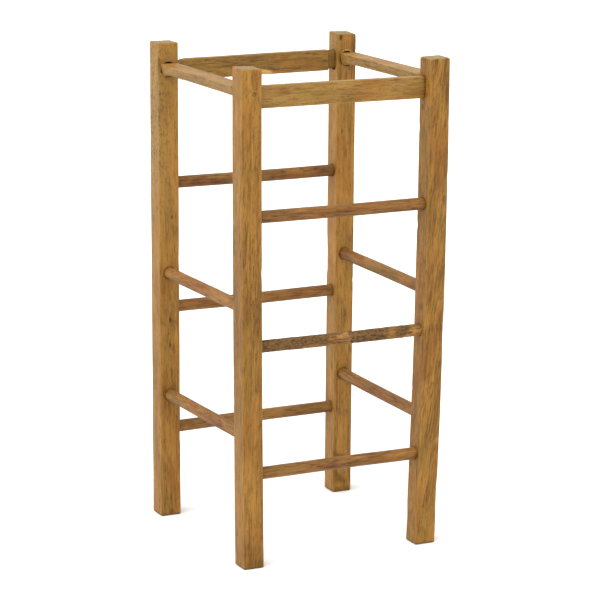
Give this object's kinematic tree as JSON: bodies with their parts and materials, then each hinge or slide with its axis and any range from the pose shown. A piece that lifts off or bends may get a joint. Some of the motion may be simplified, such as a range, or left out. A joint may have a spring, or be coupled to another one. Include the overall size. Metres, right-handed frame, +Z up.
{
  "type": "umbrella stand",
  "caption": "Open wooden umbrella stand: square posts joined by flat top rails and round rungs, with a clear well down the middle.",
  "frame": {"origin": "on the floor, midway between the four posts", "axes": "+X to the right along the front, +Y to the back, +Z up"},
  "size_m": [0.2984, 0.2949, 0.661],
  "materials": {
    "post_wood": "worn satin, honey brown softwood",
    "rail_wood": "worn satin, honey brown",
    "rung_wood": "matt to satin, mid brown",
    "dark_rung_wood": "matt, dark and mottled like bark",
    "peg_wood": "matt end grain"
  },
  "bodies": {
    "root": {"post_front_left": "post_wood", "post_front_right": "post_wood", "post_back_left": "post_wood", "post_back_right": "post_wood", "top_rail_front": "rail_wood", "top_rail_back": "rail_wood", "top_rail_left": "rail_wood", "top_rail_right": "rail_wood", "rung_front_upper": "rung_wood", "rung_front_middle": "dark_rung_wood", "rung_front_lower": "rung_wood", "rung_back_upper": "rung_wood", "rung_back_middle": "rung_wood", "rung_back_lower": "rung_wood", "rung_left_upper": "rung_wood", "rung_left_lower": "rung_wood", "rung_right_upper": "rung_wood", "rung_right_lower": "rung_wood", "tenon_peg_front_left": "peg_wood", "tenon_peg_front_right": "peg_wood", "tenon_peg_back_left": "peg_wood", "tenon_peg_back_right": "peg_wood"}
  },
  "joints": []
}
